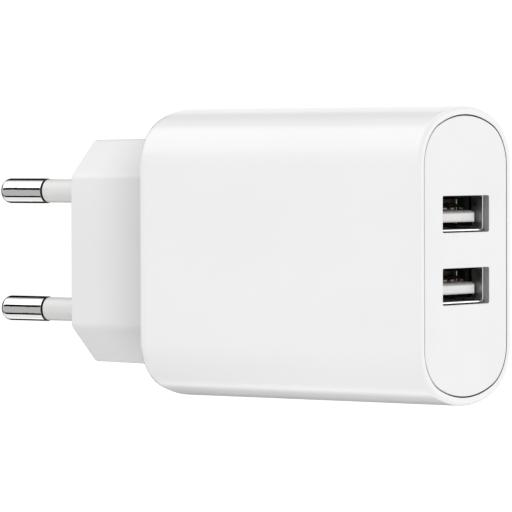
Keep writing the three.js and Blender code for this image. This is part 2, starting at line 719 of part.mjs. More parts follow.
// One bowed contact strip. Its crown stands above the tongue and its tail turns to the board.
function makeContact(port, row) {
  const { width, sheet, bed, crown, crownLength } = CONTACT;
  const y = CONTACT.rows[row];
  const top = PORT_HEIGHTS[port] + TONGUE.bottom + TONGUE.thickness;
  const tail = SHELL_REAR - 0.5 - 0.7 * (CONTACT.rows.length - row);
  const root = TONGUE_TIP - CONTACT_REACH.peak - CONTACT_REACH.rise;
  const peak = TONGUE_TIP - CONTACT_REACH.peak;
  const tip = TONGUE_TIP - CONTACT_REACH.tip;
  const upper = [
    [tail, top - bed],
    [root, top - bed],
    [peak - crownLength, top + crown - 0.06],
    [peak, top + crown],
    [peak + crownLength, top + crown - 0.12],
    [tip, top + CONTACT_REACH.tipHeight],
  ];
  const lower = upper.map(([x, height]) => [x, height - sheet]).reverse();
  const strip = prismY(polygon([...upper, ...lower]), y - width / 2, y + width / 2);
  return join(strip, box(tail, tail + 0.5, y, BOARD.face - 0.1, top - bed - sheet, top - bed));
}

// ---- Assembly -----------------------------------------------------------------------------------

const charger = new THREE.Group();

function add(name, body, material) {
  const mesh = new THREE.Mesh(geometryOf(body), material);
  mesh.name = name;
  charger.add(mesh);
}

add("housing_shell", makeHousing(), WHITE_GLOSS);
add("front_panel", makePanel(), WHITE_SATIN);
add("plug_block", makePlugBlock(), WHITE_SATIN);
for (const [name, z] of Object.entries(PIN_HEIGHTS)) {
  add(`pin_${name}`, makePin(z), NICKEL);
  add(`pin_sleeve_${name}`, makeSleeve(z), SLEEVE_WHITE);
  add(`pin_spring_${name}`, makePinSpring(z), BRONZE);
}

add("main_board", makeBoard(), BOARD_GREEN);
add("insulation_sheet", makeInsulation(), FISH_PAPER);
add("transformer_core_upper", makeCoreHalf(1), FERRITE);
add("transformer_core_lower", makeCoreHalf(-1), FERRITE);
add("transformer_bobbin", makeBobbin(), BOBBIN_BLACK);
add("transformer_winding", makeWinding(), TAPE_YELLOW);
add("transformer_tape", makeCoreTape(), TAPE_YELLOW);
add("bulk_capacitor_1", makeCapacitor(28.6, 12.4, 4, 13), CAN_BLACK);
add("bulk_capacitor_2", makeCapacitor(28.6, 3.6, 4, 13), CAN_BLACK);
add("output_capacitor_1", makeCapacitor(47.5, 12.6, 3.15, 11), CAN_GREY);
add("output_capacitor_2", makeCapacitor(47.5, -12.6, 3.15, 11), CAN_GREY);
add("safety_capacitor", makeDiscCapacitor(38, 12.5), CERAMIC_BLUE);
add("filter_choke_core", makeChokeCore(), FERRITE);
add("filter_choke_winding", makeChokeWinding(), COPPER);
add("fuse_resistor", makeFuseResistor(28.6, -5), RESISTOR_GREEN);
add("bridge_rectifier", makeChip(33.4, -13, 2.6, 3.6, 2, 2, 0.7), EPOXY_BLACK);
add("primary_controller", makeChip(37.9, -13, 4.2, 3.6, 1.6, 4), EPOXY_BLACK);
add("output_rectifier", makeChip(52.4, 2.4, 3.6, 3.6, 1.6, 4), EPOXY_BLACK);
add("port_controller", makeChip(52.6, -7.6, 2.9, 1.6, 1.1, 3, 0.3), EPOXY_BLACK);

for (const port of Object.keys(PORT_HEIGHTS)) {
  add(`usb_shell_${port}`, makeUsbShell(port), STEEL);
  add(`usb_tongue_${port}`, makeTongue(port), TONGUE_WHITE);
  CONTACT.rows.forEach((_, row) => {
    add(`usb_contact_${port}_${row + 1}`, makeContact(port, row), GOLD);
  });
}

export default charger;
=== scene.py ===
import json
import math

import bmesh
import bpy
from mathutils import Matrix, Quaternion, Vector


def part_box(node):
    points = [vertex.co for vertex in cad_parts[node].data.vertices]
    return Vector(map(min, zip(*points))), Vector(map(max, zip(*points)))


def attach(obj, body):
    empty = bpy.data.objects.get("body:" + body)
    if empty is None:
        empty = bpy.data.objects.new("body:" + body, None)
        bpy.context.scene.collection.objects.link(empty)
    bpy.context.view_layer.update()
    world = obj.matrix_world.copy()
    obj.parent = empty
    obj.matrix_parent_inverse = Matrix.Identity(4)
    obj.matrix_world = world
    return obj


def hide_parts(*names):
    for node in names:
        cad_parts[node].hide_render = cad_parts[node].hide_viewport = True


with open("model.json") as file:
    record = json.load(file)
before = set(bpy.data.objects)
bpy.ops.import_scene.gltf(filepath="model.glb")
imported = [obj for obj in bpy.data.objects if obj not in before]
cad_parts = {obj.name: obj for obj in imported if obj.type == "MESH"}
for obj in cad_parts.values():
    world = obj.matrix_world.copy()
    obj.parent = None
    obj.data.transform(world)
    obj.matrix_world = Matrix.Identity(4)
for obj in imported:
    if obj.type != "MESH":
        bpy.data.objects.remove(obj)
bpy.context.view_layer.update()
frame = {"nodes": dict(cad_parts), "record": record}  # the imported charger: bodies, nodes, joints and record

# ---- Sizes, in metres, from the frame wherever it has them -------------------------------------

MM = 0.001
housing_low, housing_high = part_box("housing_shell")
sleeve_low, sleeve_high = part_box("pin_sleeve_live")
pin_low, pin_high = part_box("pin_live")

BACK, FRONT = housing_low.x, housing_high.x
HALF_WIDTH, HALF_HEIGHT = housing_high.y, housing_high.z
CROWN, CORNER = 20.0 * MM, 8.0 * MM
REAR_FILLET, FRONT_FILLET = 2.0 * MM, 0.5 * MM
WALL, REAR_WALL = 1.8 * MM, 2.0 * MM
RIM = 1.2 * MM
PANEL_INSET = HALF_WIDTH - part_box("front_panel")[1].y
PANEL_THICKNESS = 2.0 * MM
SHELF = FRONT - PANEL_THICKNESS
SKIRT = dict(gap=0.2 * MM, wall=1.0 * MM, depth=1.7 * MM)

BLOCK = dict(half_thickness=6.85 * MM, half_height=17.65 * MM, half_flat=11.9 * MM, half_tip=0.8 * MM)
RIDGE_RADIUS, POINT_RADIUS = 1.7 * MM, 1.2 * MM
DRAFT = 0.3 * MM
BLOCK_EDGE = 0.55 * MM
BLOCK_FLOOR, BLOCK_WALL = 3.2 * MM, 1.6 * MM
FLANGE = dict(gap=0.1 * MM, thickness=1.5 * MM, width=1.4 * MM)
BOSS_RADIUS, BOSS_TOP = 4.0 * MM, 9.0 * MM

PIN_RADIUS, PIN_TIP = 2.0 * MM, 1.5 * MM
CORE_RADIUS = 1.45 * MM
COLLAR = (4.9 * MM, 6.3 * MM)
SLEEVE_RADIUS = (sleeve_high.y - sleeve_low.y) / 2
SLEEVED = 10.0 * MM
SLEEVE_START = 0.2 * MM  # the bright pin's dark shoulder, its groove painted near black as shade, shows beside the sleeve

PORTS = ("upper", "lower")
# The windows are a little wider than in CAD, so that the lip of the shell behind them shows.
WINDOW = dict(half_width=6.38 * MM, half_height=2.75 * MM, corner=0.3 * MM)
POCKET = dict(gap=0.25 * MM, corner=0.6 * MM)
SHELL_RISE = 0.28 * MM
SHEET = 0.35 * MM
CONTACT_ROWS = (-3.5 * MM, -1.0 * MM, 1.0 * MM, 3.5 * MM)


def port_height(port):
    """The z of a port window's middle."""
    low, high = shell_box(port)
    return (low.z + high.z) / 2 - SHELL_RISE


def shell_box(port):
    """The folded shell's box without its board legs."""
    low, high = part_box(f"usb_shell_{port}")
    return Vector(low), Vector((high.x, -low.y, high.z))


# ---- Mesh helpers -------------------------------------------------------------------------------


def arc(centre, radius, start, end, steps):
    """Points on a circle in a plane, both ends included, angles in radians."""
    turn = [start + (end - start) * k / steps for k in range(steps + 1)]
    return [(centre[0] + radius * math.cos(a), centre[1] + radius * math.sin(a)) for a in turn]


def joined(*stretches):
    """One closed outline from stretches of points, each meeting the next, without doubled points."""
    points = []
    for stretch in stretches:
        for point in stretch:
            if not points or math.dist(point, points[-1]) > 1e-7:
                points.append(point)
    if math.dist(points[0], points[-1]) < 1e-7:
        points.pop()
    return points


def housing_outline(inset, x):
    """The housing's section moved inwards, the same at every x: straight sides, three-centred arches."""
    corner_y = HALF_WIDTH - CORNER
    crown_z = HALF_HEIGHT - CROWN
    reach = CROWN - CORNER
    corner_z = crown_z + math.sqrt(reach**2 - corner_y**2)
    meet = math.acos(corner_y / reach)
    corner, crown = CORNER - inset, CROWN - inset
    turn = math.pi
    return joined(
        arc((corner_y, corner_z), corner, 0, meet, 18),
        arc((0, crown_z), crown, meet, turn - meet, 32),
        arc((-corner_y, corner_z), corner, turn - meet, turn, 18),
        arc((-corner_y, -corner_z), corner, turn, turn + meet, 18),
        arc((0, -crown_z), crown, turn + meet, 2 * turn - meet, 32),
        arc((corner_y, -corner_z), corner, 2 * turn - meet, 2 * turn, 18),
    )


def rounded_polygon(corners, radii, steps):
    """A convex outline, anticlockwise, with an arc of its own radius at each corner."""
    points = []
    count = len(corners)
    for i, radius in enumerate(radii):
        here = Vector(corners[i])
        to_before = (Vector(corners[i - 1]) - here).normalized()
        to_after = (Vector(corners[(i + 1) % count]) - here).normalized()
        half = to_before.angle(to_after) / 2
        centre = here + (to_before + to_after).normalized() * (radius / math.sin(half))
        first = here + to_before * (radius / math.tan(half)) - centre
        sweep = math.pi - 2 * half
        start = math.atan2(first.y, first.x)
        points += arc(centre, radius, start, start + sweep, steps)
    return points


def plug_outline(grow, x=0.0):
    """The plug block's flattened hexagon, moved outwards by grow, with the draft it has at x."""
    diagonal = grow * math.tan(math.pi / 8)
    side = BLOCK["half_thickness"] + grow
    flat = BLOCK["half_flat"] + diagonal
    top = BLOCK["half_height"] + grow
    tip = BLOCK["half_tip"] + diagonal
    corners = [(side, -flat), (side, flat), (tip, top), (-tip, top)]
    corners += [(-side, flat), (-side, -flat), (-tip, -top), (tip, -top)]
    ridge = max(RIDGE_RADIUS + grow, 0.3 * MM)
    point = max(POINT_RADIUS + grow, 0.2 * MM)
    radii = [ridge, ridge, point, point, ridge, ridge, point, point]
    share = min(max(x / BACK, 0), 1) * DRAFT
    wide = 1 + share / BLOCK["half_thickness"]
    tall = 1 + share / BLOCK["half_height"]
    return [(y * wide, z * tall) for y, z in rounded_polygon(corners, radii, 9)]


def rounded_rect(y, z, half_y, half_z, radius, steps=6):
    """A rectangle's outline round (y, z) with rounded corners."""
    corners = [(y + half_y, z - half_z), (y + half_y, z + half_z)]
    corners += [(y - half_y, z + half_z), (y - half_y, z - half_z)]
    return rounded_polygon(corners, [radius] * 4, steps)


def circle(y, z, radius, steps=64):
    """A circle's outline round (y, z)."""
    return arc((y, z), radius, 0, 2 * math.pi * (1 - 1 / steps), steps - 1)


class Solid:
    """Builds one closed mesh from rings of points, strips of faces between them and flat fills."""

    def __init__(self, name):
        self.name = name
        self.bm = bmesh.new()

    def ring(self, x, outline):
        """One ring of points in the plane at x."""
        return [self.bm.verts.new((x, y, z)) for y, z in outline]

    def strip(self, one, other, slot=0):
        """Faces between two rings of as many points, in this material slot."""
        count = len(one)
        for i in range(count):
            j = (i + 1) % count
            self.bm.faces.new((one[i], one[j], other[j], other[i])).material_index = slot

    def run(self, profile, outline_at, slot=0):
        """Rings along profile, (x, offset) pairs, each strip joining two. Returns all the rings."""
        rings = [self.ring(x, outline_at(offset, x)) for x, offset in profile]
        for one, other in zip(rings, rings[1:]):
            self.strip(one, other, slot)
        return rings

    def fill(self, *loops):
        """A flat face bounded by the first ring, with the others as holes in it."""
        edges = []
        for loop in loops:
            for i, vert in enumerate(loop):
                pair = (vert, loop[(i + 1) % len(loop)])
                edges.append(self.bm.edges.get(pair) or self.bm.edges.new(pair))
        bmesh.ops.triangle_fill(self.bm, edges=edges, use_beauty=True)

    def finish(self, *materials):
        """The object made from all of it."""
        bmesh.ops.recalc_face_normals(self.bm, faces=self.bm.faces)
        mesh = bpy.data.meshes.new(self.name)
        self.bm.to_mesh(mesh)
        self.bm.free()
        return placed(self.name, mesh, *materials)


SMOOTH_ANGLE = math.radians(35)


def placed(name, mesh, *materials):
    """An object of this mesh in the scene, smooth shaded where its faces turn only a little."""
    piece = bpy.data.objects.new(name, mesh)
    bpy.context.scene.collection.objects.link(piece)
    for material in materials:
        mesh.materials.append(material)
    mesh.shade_smooth()
    mesh.set_sharp_from_angle(angle=SMOOTH_ANGLE)
    return piece


def baked(piece):
    """Applies the piece's modifiers to its mesh."""
    graph = bpy.context.evaluated_depsgraph_get()
    mesh = bpy.data.meshes.new_from_object(piece.evaluated_get(graph))
    piece.modifiers.clear()
    piece.data = mesh


def bevelled(piece, width, segments=3, angle=40):
    """Rounds the piece's sharp edges and keeps its flat faces flat."""
    bevel = piece.modifiers.new("bevel", "BEVEL")
    bevel.width, bevel.segments = width, segments
    bevel.limit_method, bevel.angle_limit = "ANGLE", math.radians(angle)
    bevel.miter_outer = "MITER_ARC"
    weighted = piece.modifiers.new("weighted", "WEIGHTED_NORMAL")
    weighted.keep_sharp = True
    baked(piece)


def fillet(centre, radius, start, end, steps):
    """A rounded stretch of a profile: (x, offset) pairs, angles in degrees, 0 along +x."""
    return arc(centre, radius, math.radians(start), math.radians(end), steps)


# ---- Materials ----------------------------------------------------------------------------------


class Look:
    """A Principled material with helpers for its procedural detail, all sized in millimetres."""

    def __init__(self, name, base, roughness, metallic=0.0):
        self.material = bpy.data.materials.new(name)
        self.material.use_nodes = True
        self.nodes = self.material.node_tree.nodes
        self.links = self.material.node_tree.links
        self.shader = self.nodes["Principled BSDF"]
        self.base = base
        self.set("Base Color", (*base, 1))
        self.set("Roughness", roughness)
        self.set("Metallic", metallic)
        self.coordinates = self.nodes.new("ShaderNodeTexCoord").outputs["Object"]
        self.height = None

    def set(self, socket, value):
        """Sets one of the shader's own sockets."""
        self.shader.inputs[socket].default_value = value

    def stretched(self, scale):
        """Object coordinates in millimetres, stretched by scale along each axis."""
        mapping = self.nodes.new("ShaderNodeMapping")
        mapping.inputs["Scale"].default_value = [s / MM for s in scale]
        self.links.new(self.coordinates, mapping.inputs["Vector"])
        return mapping.outputs["Vector"]

    def noise(self, size, detail=3, stretch=(1, 1, 1), distortion=0.0):
        """Noise with features about size millimetres across."""
        noise = self.nodes.new("ShaderNodeTexNoise")
        noise.inputs["Scale"].default_value = 1
        noise.inputs["Detail"].default_value = detail
        noise.inputs["Distortion"].default_value = distortion
        self.links.new(self.stretched([s / size for s in stretch]), noise.inputs["Vector"])
        return noise.outputs["Fac"]

    def ramp(self, value, low, high, start=0.0, end=1.0):
        """value remapped so that low becomes start and high becomes end."""
        remap = self.nodes.new("ShaderNodeMapRange")
        remap.inputs["From Min"].default_value = low
        remap.inputs["From Max"].default_value = high
        remap.inputs["To Min"].default_value = start
        remap.inputs["To Max"].default_value = end
        self.links.new(value, remap.inputs["Value"])
        return remap.outputs["Result"]

    def math(self, operation, one, other):
        """The result of an operation on a number or socket and another."""
        node = self.nodes.new("ShaderNodeMath")
        node.operation = operation
        for socket, value in zip(node.inputs, (one, other)):
            if isinstance(value, (int, float)):
                socket.default_value = value
            else:
                self.links.new(value, socket)
        return node.outputs["Value"]

    def mix(self, share, one, other):
        """A colour between one and other, each an RGB triple or a socket."""
        node = self.nodes.new("ShaderNodeMix")
        node.data_type = "RGBA"
        self.links.new(share, node.inputs["Factor"])
        colour_a, colour_b, result = node.inputs[6], node.inputs[7], node.outputs[2]
        for socket, value in ((colour_a, one), (colour_b, other)):
            if isinstance(value, (tuple, list)):
                socket.default_value = (*value, 1)
            else:
                self.links.new(value, socket)
        return result

    def vary_colour(self, share, other):
        """Base colour turning to other where share is 1."""
        self.links.new(self.mix(share, self.base, other), self.shader.inputs["Base Color"])

    def shade_along(self, axis, start, end, shade, bend=1.5):
        """Paints shade into the varied base colour: darkens it from start to end along an axis, down to shade
        times it.
        """
        split = self.nodes.new("ShaderNodeSeparateXYZ")
        self.links.new(self.stretched((1, 1, 1)), split.inputs[0])
        share = self.math("POWER", self.ramp(split.outputs[axis], start, end), bend)
        socket = self.shader.inputs["Base Color"]
        colour = socket.links[0].from_socket
        dark = self.mix(self.math("MULTIPLY", share, 1 - shade), colour, (0, 0, 0))
        self.links.new(dark, socket)

    def vary_roughness(self, value, low, high):
        """Roughness from low to high as value goes from 0.3 to 0.7."""
        self.links.new(self.ramp(value, 0.3, 0.7, low, high), self.shader.inputs["Roughness"])

    def relief(self, value, depth):
        """Adds surface relief of this depth."""
        bump = self.nodes.new("ShaderNodeBump")
        bump.inputs["Strength"].default_value = 1
        bump.inputs["Distance"].default_value = depth * MM
        self.links.new(value, bump.inputs["Height"])
        if self.height:
            self.links.new(self.height, bump.inputs["Normal"])
        self.height = bump.outputs["Normal"]
        self.links.new(self.height, self.shader.inputs["Normal"])

    def scratches(self, size, long_axis, depth):
        """Fine scratches running roughly along one axis."""
        stretch = [0.08 if axis == long_axis else 1 for axis in "xyz"]
        lines = self.ramp(self.noise(size, detail=4, stretch=stretch, distortion=0.4), 0.56, 0.62)
        self.relief(lines, depth)


def moulded(name, base, roughness, grain, grain_depth):
    """Injection-moulded plastic: faint flow marks, a fine tool texture and slight handling wear."""
    look = Look(name, base, roughness)
    clouds = look.noise(14, detail=2, stretch=(0.5, 1, 1))
    look.vary_colour(look.ramp(clouds, 0.4, 0.65), tuple(c * 0.985 for c in base))
    wear = look.noise(3.5, detail=5)
    look.vary_roughness(wear, roughness * 0.85, roughness * 1.2)
    look.relief(look.noise(grain, detail=3), grain_depth)
    return look


def plain_moulding(name, base, roughness, grain=0.25):
    """The material of a hidden or dark moulded part, or of a plain painted shade."""
    return moulded(name, base, roughness, grain, 0.012).material


def sheet_metal(name, base, roughness, grain_axis, depth=0.004):
    """Rolled metal strip: long fine grain, blotchy tarnish and patchy roughness."""
    look = Look(name, base, roughness, metallic=1.0)
    stretch = [0.06 if axis == grain_axis else 1 for axis in "xyz"]
    look.relief(look.noise(0.12, detail=4, stretch=stretch), depth)
    tarnish = look.noise(2.2, detail=4)
    look.vary_colour(look.ramp(tarnish, 0.45, 0.75), tuple(c * 0.93 for c in base))
    look.vary_roughness(look.noise(0.9, detail=3), roughness * 0.7, roughness * 1.4)
    return look.material


# Together these make the turns' spacing 0.63 of the pitch given to wound().
WAVE_SCALE, WAVE_STRETCH = 1 / (2 * math.pi) * 10, 0.314


def wound(name, base, dark, pitch, axis):
    """Turns of wire or tape side by side along an axis, as relief, with painted shade darkening the grooves
    between them.
    """
    look = Look(name, base, 0.35)
    wave = look.nodes.new("ShaderNodeTexWave")
    wave.bands_direction = axis.upper()
    wave.inputs["Scale"].default_value = WAVE_SCALE
    wave.inputs["Distortion"].default_value = 0.2
    look.links.new(look.stretched([WAVE_STRETCH / pitch] * 3), wave.inputs["Vector"])
    look.relief(wave.outputs["Fac"], 0.08)
    # Painted shade: the grooves between turns darken towards the dark colour.
    look.vary_colour(look.ramp(wave.outputs["Fac"], 0.35, 0.05), dark)
    return look.material


def make_looks():
    """Every material by name: the record's slots, and darker copies that paint shade onto the walls of gaps
    and windows.
    """
    white = (0.86, 0.86, 0.86)
    tongue_white = (0.84, 0.83, 0.82)
    looks = {}
    looks["white_gloss"] = moulded("white_gloss", white, 0.16, 1.6, 0.004).material
    looks["white_satin"] = moulded("white_satin", white, 0.42, 0.16, 0.006).material
    plug = moulded("white_plug", (0.82, 0.82, 0.82), 0.36, 0.2, 0.006)
    # Painted shade: the plug block's colour darkens towards the housing, the shade at the junction painted
    # in.
    plug.shade_along("X", start=4, end=18, shade=0.66)
    looks["white_plug"] = plug.material
    # Painted shade: a darker grey for the walls of the panel's windows, the shade in the recess painted in.
    looks["panel_recess_shade"] = moulded("panel_recess_shade", (0.3, 0.3, 0.3), 0.4, 0.2, 0.006).material
    looks["gap_shade"] = plain_moulding("gap_shade", (0.12, 0.12, 0.12), 0.5)
    looks["sleeve_white"] = moulded("sleeve_white", (0.76, 0.76, 0.75), 0.3, 0.3, 0.006).material
    looks["tongue_white"] = moulded("tongue_white", tongue_white, 0.35, 0.2, 0.008).material
    # Each port's tongue gets its own copy with painted shade: darker up its sloping top, where the shade
    # inside the shell falls.
    for port in PORTS:
        top = (port_height(port) + TONGUE["bottom"] + TONGUE["thickness"]) / MM
        tongue = moulded(f"tongue_white_{port}", tongue_white, 0.35, 0.2, 0.008)
        tongue.shade_along("Z", start=top - 0.66, end=top - 0.2, shade=0.75, bend=1)
        looks[f"tongue_white_{port}"] = tongue.material

    nickel = Look("nickel", (0.85, 0.85, 0.84), 0.1, metallic=1.0)
    nickel.scratches(0.5, "x", 0.0015)
    nickel.vary_roughness(nickel.noise(1.5, detail=4), 0.04, 0.08)
    looks["nickel"] = nickel.material

    # Painted shade: near black for the pin's groove and the core under the sleeve, where the groove is in
    # shade.
    looks["pin_groove_shade"] = plain_moulding("pin_groove_shade", (0.015, 0.015, 0.015), 0.6)
    looks["steel"] = sheet_metal("steel", (0.62, 0.62, 0.61), 0.24, "x")
    # Painted shade: a darker copy of the steel for the inside of the receptacle shells.
    looks["steel_inside_shade"] = sheet_metal("steel_inside_shade", (0.36, 0.36, 0.36), 0.32, "x", 0.002)
    # Painted highlight: a brighter, glossier copy of the steel for the sheet's cut edges, so the lip shows as
    # a bright line.
    looks["steel_edge_highlight"] = sheet_metal("steel_edge_highlight", (0.95, 0.95, 0.95), 0.16, "y", 0.001)
    looks["bronze"] = sheet_metal("bronze", (0.6, 0.36, 0.18), 0.28, "x")
    # Painted shade: the contacts' gold is darkened far below bright metal, the shade inside the port painted
    # in.
    looks["gold"] = sheet_metal("gold", (0.17, 0.115, 0.09), 0.3, "x")
    looks["can_grey"] = sheet_metal("can_grey", (0.7, 0.71, 0.73), 0.3, "y")

    # Painted shade: the board's green is darkened nearly to black, as it looks in the shade inside the
    # housing.
    board = Look("board_green", (0.008, 0.02, 0.01), 0.35)
    weave = board.noise(0.8, detail=2, stretch=(1, 1, 0.1))
    board.relief(weave, 0.01)
    tracks = board.noise(2.4, detail=1, stretch=(0.3, 1, 1))
    board.vary_colour(board.ramp(tracks, 0.5, 0.52), (0.012, 0.03, 0.016))
    looks["board_green"] = board.material

    paper = Look("fish_paper", (0.62, 0.57, 0.43), 0.8)
    paper.relief(paper.noise(0.3, detail=6), 0.02)
    paper.vary_colour(paper.ramp(paper.noise(1.2, detail=6), 0.4, 0.7), (0.5, 0.45, 0.33))
    looks["fish_paper"] = paper.material

    ferrite = Look("ferrite", (0.03, 0.03, 0.032), 0.6)
    ferrite.relief(ferrite.noise(0.15, detail=5), 0.02)
    ferrite.vary_colour(ferrite.ramp(ferrite.noise(0.6, detail=6), 0.45, 0.7), (0.08, 0.08, 0.085))
    looks["ferrite"] = ferrite.material

    looks["bobbin_black"] = plain_moulding("bobbin_black", (0.02, 0.02, 0.02), 0.4)
    looks["epoxy_black"] = plain_moulding("epoxy_black", (0.025, 0.025, 0.027), 0.5, 0.12)
    looks["can_black"] = plain_moulding("can_black", (0.02, 0.022, 0.026), 0.28, 0.9)
    looks["ceramic_blue"] = plain_moulding("ceramic_blue", (0.02, 0.1, 0.42), 0.25, 0.7)
    looks["resistor_green"] = plain_moulding("resistor_green", (0.08, 0.27, 0.12), 0.35, 0.5)
    looks["tape_yellow"] = wound("tape_yellow", (0.75, 0.5, 0.03), (0.45, 0.28, 0.02), 1.3, "z")
    looks["copper"] = wound("copper", (0.55, 0.18, 0.06), (0.15, 0.04, 0.015), 0.3, "y")
    return looks


# ---- Enclosure ----------------------------------------------------------------------------------


def make_housing(looks):
    """The hollow housing with its rounded rear edge, thin front rim and the hole for the plug."""
    solid = Solid("housing")
    edge = 0.08 * MM
    rear = fillet((BACK + REAR_FILLET, REAR_FILLET), REAR_FILLET, 180, 270, 14)
    front = fillet((FRONT - FRONT_FILLET, FRONT_FILLET), FRONT_FILLET, 270, 360, 8)
    lip = fillet((FRONT - edge, RIM - edge), edge, 0, 90, 3)
    # A ring just past each rounded stretch keeps the shading of the flat parts flat.
    profile = [
        (BACK, REAR_FILLET + 0.4 * MM),
        *rear,
        (BACK + REAR_FILLET + 0.6 * MM, 0),
        (FRONT - FRONT_FILLET - 0.3 * MM, 0),
        *front,
        (FRONT, FRONT_FILLET + edge),
        *lip,
    ]
    inside = BACK + REAR_WALL
    rings = solid.run(profile, housing_outline)
    gap = solid.run([(SHELF, RIM), (SHELF, WALL)], housing_outline, 1)
    solid.strip(rings[-1], gap[0], 1)
    cavity = solid.run([(inside, WALL)], housing_outline)
    solid.strip(gap[-1], cavity[0])
    hole = DRAFT + 0.04 * MM
    soft = 0.12 * MM
    mouth = [(BACK, hole + soft + 0.25 * MM)]
    mouth += fillet((BACK + soft, hole + soft), soft, 180, 270, 3)
    mouth.append((inside, hole))
    hole_rings = solid.run(mouth, lambda grow, x: plug_outline(grow))
    solid.fill(rings[0], hole_rings[0])
    solid.fill(cavity[0], hole_rings[-1])
    piece = solid.finish(looks["white_gloss"], looks["gap_shade"])
    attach(piece, "charger")
    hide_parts("housing_shell")


def window_outline(port):
    """outline_at for the window of a port: grows by its offset."""
    z = port_height(port)

    def outline(grow, x):
        half_y, half_z = WINDOW["half_width"] + grow, WINDOW["half_height"] + grow
        return rounded_rect(0, z, half_y, half_z, WINDOW["corner"] + grow)

    return outline


def pocket_outline(port):
    """outline_at for the wider pocket behind the window, where the receptacle's shell stands."""
    low, high = shell_box(port)
    half_y = (high.y - low.y) / 2 + POCKET["gap"]
    half_z = (high.z - low.z) / 2 + POCKET["gap"]
    middle = (high.z + low.z) / 2
    corner = POCKET["corner"]
    return lambda grow, x: rounded_rect(0, middle, half_y + grow, half_z + grow, corner + grow)


def make_panel(looks):
    """The front panel with its two windows, the pockets behind them and the skirt round its back."""
    solid = Solid("panel")
    soft = 0.14 * MM
    outside = WALL + SKIRT["gap"]
    inside = outside + SKIRT["wall"]
    skirt_end = SHELF - SKIRT["depth"]
    profile = [
        (FRONT, PANEL_INSET + soft + 0.2 * MM),
        *fillet((FRONT - soft, PANEL_INSET + soft), soft, 0, -90, 4),
    ]
    behind = [
        (SHELF, PANEL_INSET),
        (SHELF, outside),
        (skirt_end, outside),
        (skirt_end, inside),
        (SHELF, inside),
    ]
    rings = solid.run(profile, housing_outline)
    skirt_rings = solid.run(behind, housing_outline)
    solid.strip(rings[-1], skirt_rings[0])
    fronts, backs = [], []
    seat = shell_box("upper")[1].x + 0.05 * MM
    edge = 0.07 * MM
    for port in PORTS:
        mouth = [(FRONT, edge + 0.1 * MM), *fillet((FRONT - edge, edge), edge, 0, -90, 3)]
        mouth_rings = solid.run(mouth, window_outline(port))
        # The window's walls and the seat behind it take the second material, a darker grey with painted
        # shade.
        wall = solid.run([(seat, 0)], window_outline(port))
        solid.strip(mouth_rings[-1], wall[0], 1)
        pocket = solid.run([(seat, 0), (SHELF, 0)], pocket_outline(port))
        solid.strip(wall[0], pocket[0], 1)
        fronts.append(mouth_rings[0])
        backs.append(pocket[-1])
    solid.fill(rings[0], *fronts)
    solid.fill(skirt_rings[-1], *backs)
    piece = solid.finish(looks["white_satin"], looks["panel_recess_shade"])
    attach(piece, "charger")
    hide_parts("front_panel")


# ---- Plug ---------------------------------------------------------------------------------------


def pin_heights():
    """The z of each pin's axis: live, then neutral."""
    return [sum((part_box(f"pin_{name}")[i].z for i in (0, 1))) / 2 for name in ("live", "neutral")]


def make_plug_block(looks):
    """The hexagonal plug block: drafted outside, flanged inside the housing, hollow with two bosses."""
    solid = Solid("plug_body")
    soft = BLOCK_EDGE
    flange = BACK + REAR_WALL + FLANGE["gap"]
    flange_end = flange + FLANGE["thickness"]
    profile = [
        (0, -soft - 0.3 * MM),
        *fillet((soft, -soft), soft, 180, 90, 7),
        (soft + 0.4 * MM, 0),
        (flange, 0),
        (flange, FLANGE["width"]),
        (flange_end, FLANGE["width"]),
        (flange_end, -BLOCK_WALL),
        (BLOCK_FLOOR, -BLOCK_WALL),
    ]
    rings = solid.run(profile, plug_outline)
    faces, floors = [], []
    bore = SLEEVE_RADIUS + 0.03 * MM
    step = sleeve_high.x + 0.1 * MM
    core = CORE_RADIUS + 0.1 * MM
    edge = 0.1 * MM
    for z in pin_heights():
        channel = [
            (0, bore + edge + 0.15 * MM),
            *fillet((edge, bore + edge), edge, 180, 270, 3),
            (step, bore),
            (step, core),
            (BOSS_TOP, core),
            (BOSS_TOP, BOSS_RADIUS),
            (BLOCK_FLOOR, BOSS_RADIUS),
        ]
        channel_rings = solid.run(channel, lambda radius, x: circle(0, z, radius))
        faces.append(channel_rings[0])
        floors.append(channel_rings[-1])
    solid.fill(rings[0], *faces)
    solid.fill(rings[-1], *floors)
    piece = solid.finish(looks["white_plug"])
    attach(piece, "charger")
    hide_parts("plug_block")


